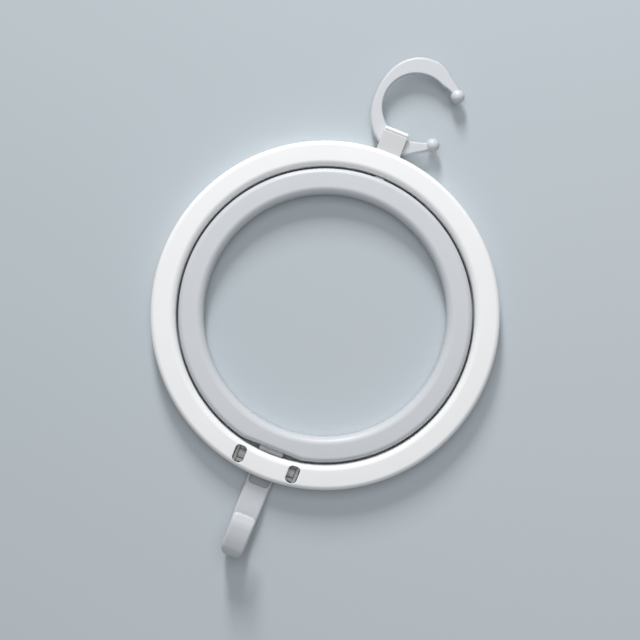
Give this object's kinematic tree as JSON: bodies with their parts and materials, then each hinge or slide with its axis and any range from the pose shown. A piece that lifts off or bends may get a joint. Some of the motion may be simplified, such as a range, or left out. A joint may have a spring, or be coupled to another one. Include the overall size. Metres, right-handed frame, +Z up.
{
  "type": "hook hanger",
  "caption": "Ring-shaped hanger: a grey ring folds back out of a white one, with a C-hook on top for a rod and a strap hook below.",
  "frame": {"origin": "seat of the rod, at the top of the C-hook's bore and midway through its thickness", "axes": "+Z up as it hangs, +X to the right and -Y towards the viewer of the front, where the windows and the tip of the strap hook are"},
  "size_m": [0.2, 0.025, 0.3063],
  "materials": {
    "white_plastic": "satin moulded white plastic",
    "blue_grey_plastic": "satin moulded pale blue-grey plastic"
  },
  "bodies": {
    "main_ring": {"outer_ring": "white_plastic", "hinge_pin": "white_plastic"},
    "folding_ring": {"inner_ring": "blue_grey_plastic"},
    "strap_hook": {"j_hook": "blue_grey_plastic"},
    "rod_hook": {"c_hook": "blue_grey_plastic"}
  },
  "joints": [
    {"name": "ring_fold", "type": "hinge", "parent": "main_ring", "child": "folding_ring", "pos_m": [-0.00466, 0.0021, -0.24069], "axis": [-1, 0, 0], "range_deg": [0, 90]},
    {"name": "strap_hook_swing", "type": "hinge", "parent": "main_ring", "child": "strap_hook", "pos_m": [-0.00466, 0.0021, -0.24069], "axis": [1, 0, 0], "range_deg": [0, 40]},
    {"name": "rod_hook_turn", "type": "hinge", "parent": "main_ring", "child": "rod_hook", "pos_m": [0, 0, -0.0195], "axis": [0, -1, 0], "range_deg": [-25, 180]}
  ]
}
